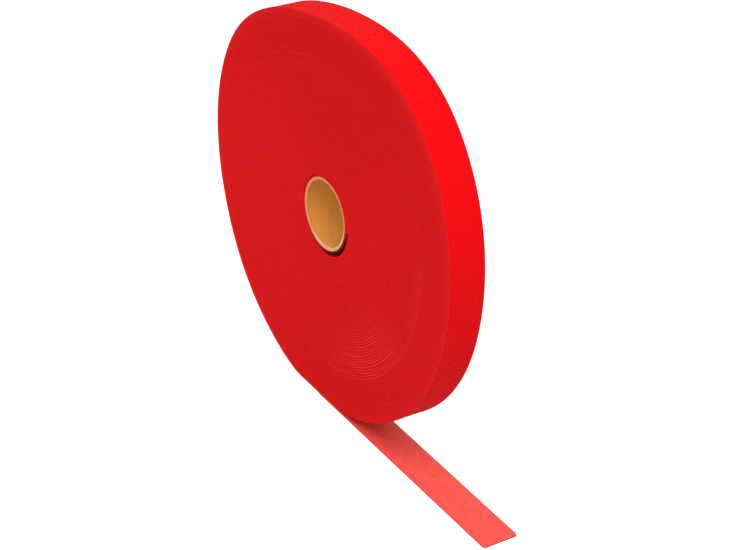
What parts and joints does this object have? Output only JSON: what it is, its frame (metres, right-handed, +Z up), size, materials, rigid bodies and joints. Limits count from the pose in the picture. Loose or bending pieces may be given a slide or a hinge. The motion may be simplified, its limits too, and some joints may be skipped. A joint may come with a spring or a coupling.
{
  "type": "hook and loop tape roll",
  "caption": "Roll of back-to-back hook and loop tape on a cardboard core, standing on its rim. The free end lies flat, hooks up, and bends up in coupled sections to wind on again.",
  "frame": {"origin": "on the floor, at the middle of the flat that the roll rests on, straight under the roll's axis and midway between its two faces", "axes": "+Z up; +Y along the roll's axis, away from the face that is seen; +X along the free end as it lies on the floor"},
  "size_m": [0.2617, 0.02, 0.2105],
  "materials": {
    "kraft": "matte kraft",
    "adhesive": "double-sided adhesive film",
    "tape_edge": "cut tape edges, matte",
    "loop": "napped loop pile",
    "hook": "rows of hooks on a woven ribbon"
  },
  "bodies": {
    "roll": {"core_tube": "kraft", "start_strip": "adhesive", "inner_winding": "tape_edge", "outer_winding": "loop"},
    "tail_1": {"tail_loop_1": "loop", "tail_hook_1": "hook"},
    "tail_2": {"tail_loop_2": "loop", "tail_hook_2": "hook"},
    "tail_3": {"tail_loop_3": "loop", "tail_hook_3": "hook"},
    "tail_4": {"tail_loop_4": "loop", "tail_hook_4": "hook"},
    "tail_5": {"tail_loop_5": "loop", "tail_hook_5": "hook"},
    "tail_6": {"tail_loop_6": "loop", "tail_hook_6": "hook"},
    "tail_7": {"tail_loop_7": "loop", "tail_hook_7": "hook"}
  },
  "joints": [
    {"name": "tail_bend_1", "type": "hinge", "parent": "roll", "child": "tail_1", "pos_m": [0.02252, 0, 0.001], "axis": [0, -1, 0], "range_deg": [0, 15.36]},
    {"name": "tail_bend_2", "type": "hinge", "parent": "tail_1", "child": "tail_2", "pos_m": [0.03889, 0, 0.001], "axis": [0, -1, 0], "range_deg": [0, 10.25]},
    {"name": "tail_bend_3", "type": "hinge", "parent": "tail_2", "child": "tail_3", "pos_m": [0.05843, 0, 0.001], "axis": [0, -1, 0], "range_deg": [0, 10.25]},
    {"name": "tail_bend_4", "type": "hinge", "parent": "tail_3", "child": "tail_4", "pos_m": [0.07797, 0, 0.001], "axis": [0, -1, 0], "range_deg": [0, 10.25]},
    {"name": "tail_bend_5", "type": "hinge", "parent": "tail_4", "child": "tail_5", "pos_m": [0.09751, 0, 0.001], "axis": [0, -1, 0], "range_deg": [0, 10.25]},
    {"name": "tail_bend_6", "type": "hinge", "parent": "tail_5", "child": "tail_6", "pos_m": [0.11705, 0, 0.001], "axis": [0, -1, 0], "range_deg": [0, 10.25]},
    {"name": "tail_bend_7", "type": "hinge", "parent": "tail_6", "child": "tail_7", "pos_m": [0.13659, 0, 0.001], "axis": [0, -1, 0], "range_deg": [0, 10.25]}
  ],
  "couplings": [
    {"joint": "tail_bend_2", "follows": "tail_bend_1", "ratio": 0.66667},
    {"joint": "tail_bend_3", "follows": "tail_bend_1", "ratio": 0.66667},
    {"joint": "tail_bend_4", "follows": "tail_bend_1", "ratio": 0.66667},
    {"joint": "tail_bend_5", "follows": "tail_bend_1", "ratio": 0.66667},
    {"joint": "tail_bend_6", "follows": "tail_bend_1", "ratio": 0.66667},
    {"joint": "tail_bend_7", "follows": "tail_bend_1", "ratio": 0.66667}
  ]
}
